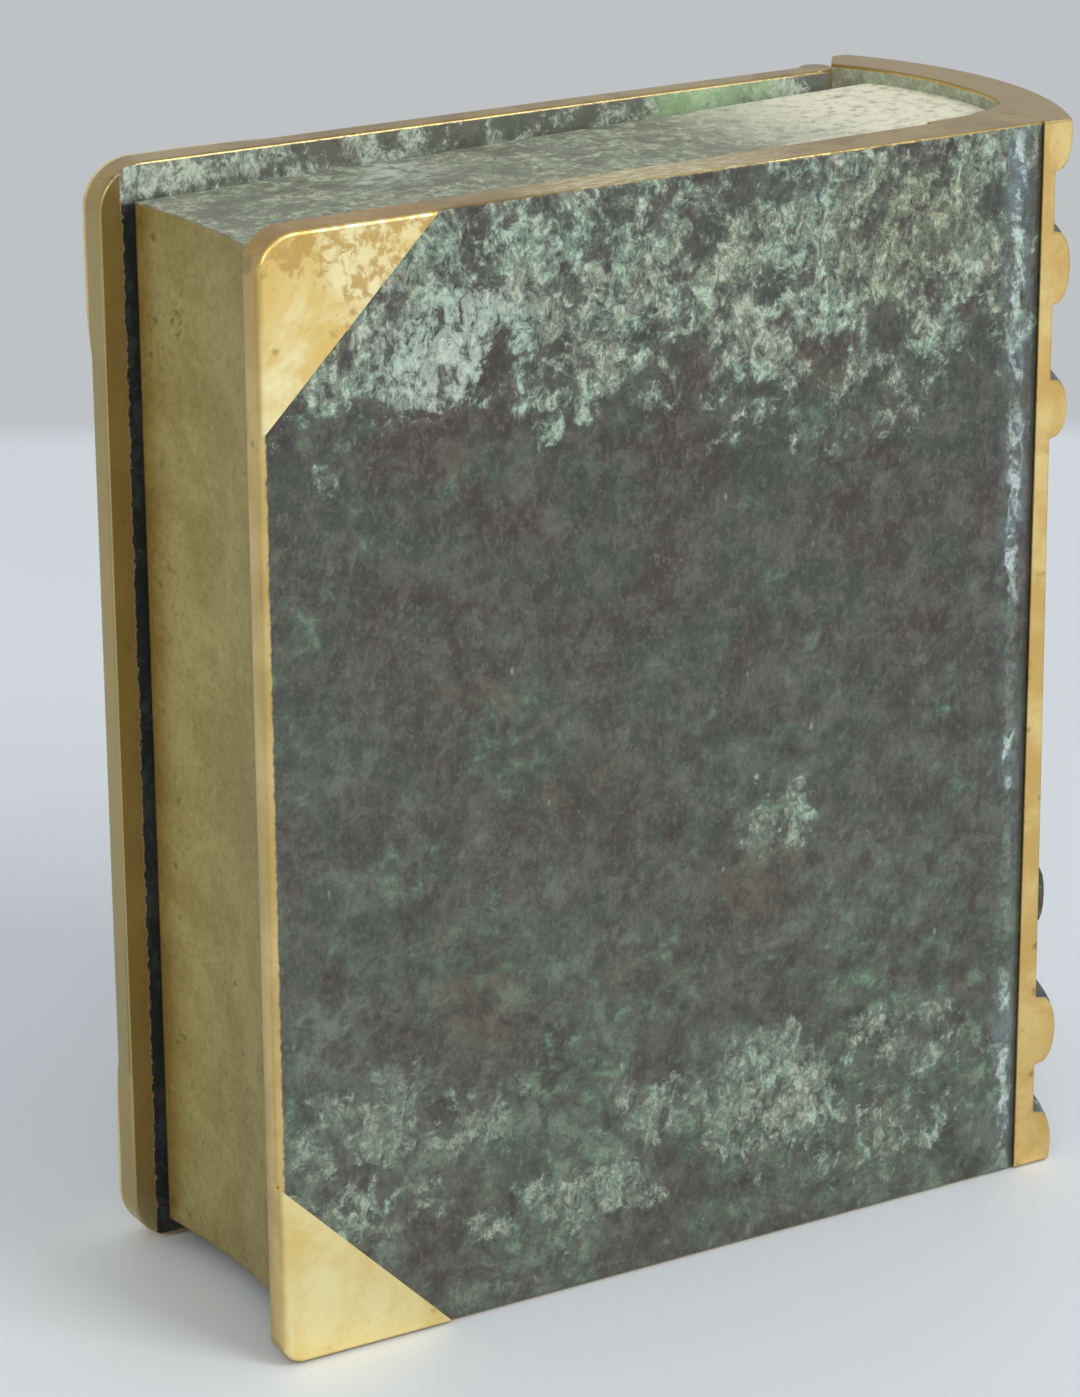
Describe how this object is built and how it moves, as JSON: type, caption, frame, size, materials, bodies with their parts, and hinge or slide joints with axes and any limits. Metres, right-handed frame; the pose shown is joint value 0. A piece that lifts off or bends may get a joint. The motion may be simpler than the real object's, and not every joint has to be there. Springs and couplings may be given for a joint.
{
  "type": "book-shaped box",
  "caption": "Cast brass box in the form of a bound book, with a hinged front cover, raised spine bands, corner mounts and a hollow page block.",
  "frame": {"origin": "centre of the footprint, on the surface that the book stands on by its tail edge", "axes": "+Z from tail to head, +X from the fore-edge to the spine, +Y from the back cover to the lid"},
  "size_m": [0.1206, 0.047, 0.14],
  "materials": {
    "patinated_brass": "green and dark brown verdigris patina, rough",
    "polished_brass": "polished, with speckled tarnish",
    "satin_brass": "satin olive brass with small casting pits",
    "band_brass": "polished ends, patinated backs",
    "hinge_brass": "satin"
  },
  "bodies": {
    "case": {"back_cover": "patinated_brass", "back_corner_tail": "polished_brass", "back_corner_head": "polished_brass", "page_block": "satin_brass", "spine_shell": "satin_brass", "spine_band_tail": "band_brass", "spine_band_1": "band_brass", "spine_band_2": "band_brass", "spine_band_3": "band_brass", "spine_band_4": "band_brass", "spine_band_head": "band_brass", "hinge_leaf": "hinge_brass", "hinge_rivet_1": "hinge_brass", "hinge_rivet_2": "hinge_brass", "hinge_rivet_3": "hinge_brass", "hinge_pin": "hinge_brass"},
    "lid": {"lid": "patinated_brass", "lid_corner_tail": "polished_brass", "lid_corner_head": "polished_brass", "lid_rebate_plate": "satin_brass"}
  },
  "joints": [
    {"name": "lid_hinge", "type": "hinge", "parent": "case", "child": "lid", "pos_m": [0.0431, 0.0188, 0.07], "axis": [0, 0, -1], "range_deg": [0, 118]}
  ]
}
